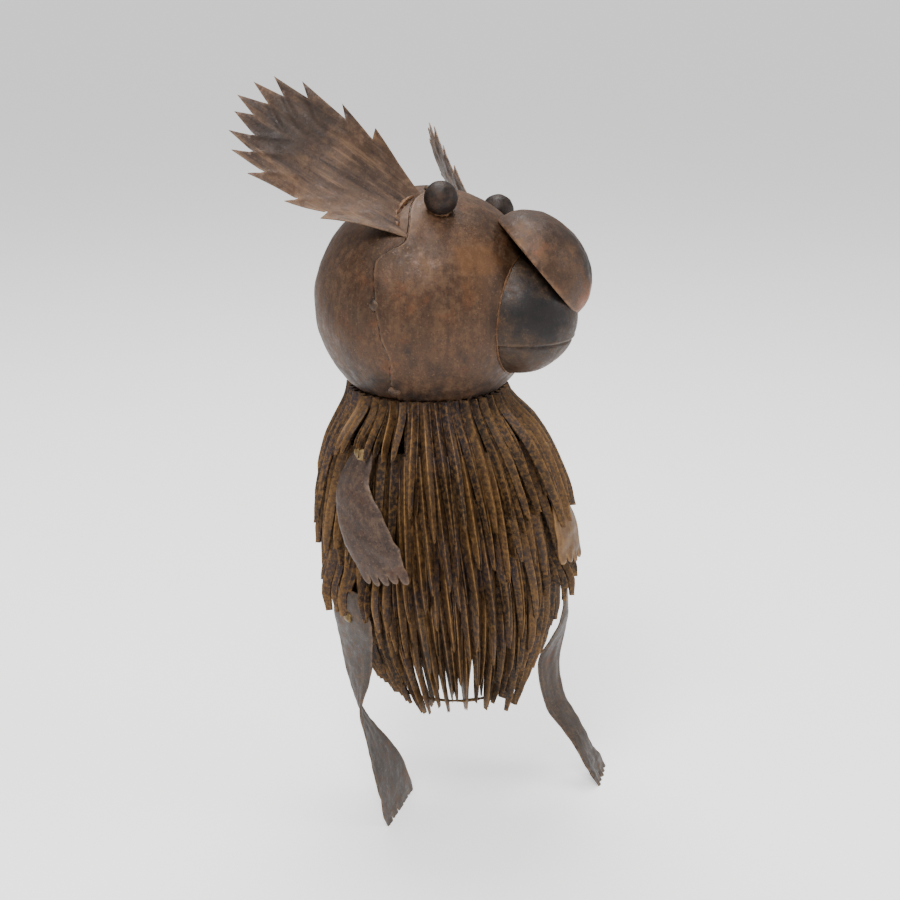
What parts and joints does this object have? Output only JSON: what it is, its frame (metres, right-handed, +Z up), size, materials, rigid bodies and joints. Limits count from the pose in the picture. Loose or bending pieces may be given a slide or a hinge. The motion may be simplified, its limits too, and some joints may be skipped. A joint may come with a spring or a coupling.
{
  "type": "iron koala statue",
  "caption": "Standing sheet-iron koala with a ball head, sawtooth leaf ears, a body of layered folded spikes and twisted sheet legs.",
  "frame": {"origin": "centre of the whole figure's box, on the ground under the toes", "axes": "+Z up, the body faces -Y, the koala's right side is -X"},
  "size_m": [0.3188, 0.2914, 0.6071],
  "materials": {
    "head_iron": "rusted",
    "muzzle_iron": "rusted",
    "nose_iron": "rusted",
    "eye_iron": "darkened",
    "ear_iron": "rusted",
    "spike_iron": "rusted",
    "limb_iron": "rusted"
  },
  "bodies": {
    "root": {"head_back_shell": "head_iron", "head_face_shell": "head_iron", "muzzle": "muzzle_iron", "nose": "nose_iron", "eye_right": "eye_iron", "eye_left": "eye_iron", "ear_right": "ear_iron", "ear_left": "ear_iron", "bottom_hoop": "spike_iron", "arm_right": "limb_iron", "arm_left": "limb_iron", "leg_right": "limb_iron", "leg_left": "limb_iron", "spike_row_1": "spike_iron", "spike_row_2": "spike_iron", "spike_row_3": "spike_iron", "spike_row_4": "spike_iron", "spike_row_5": "spike_iron", "spike_row_6": "spike_iron"}
  },
  "joints": []
}
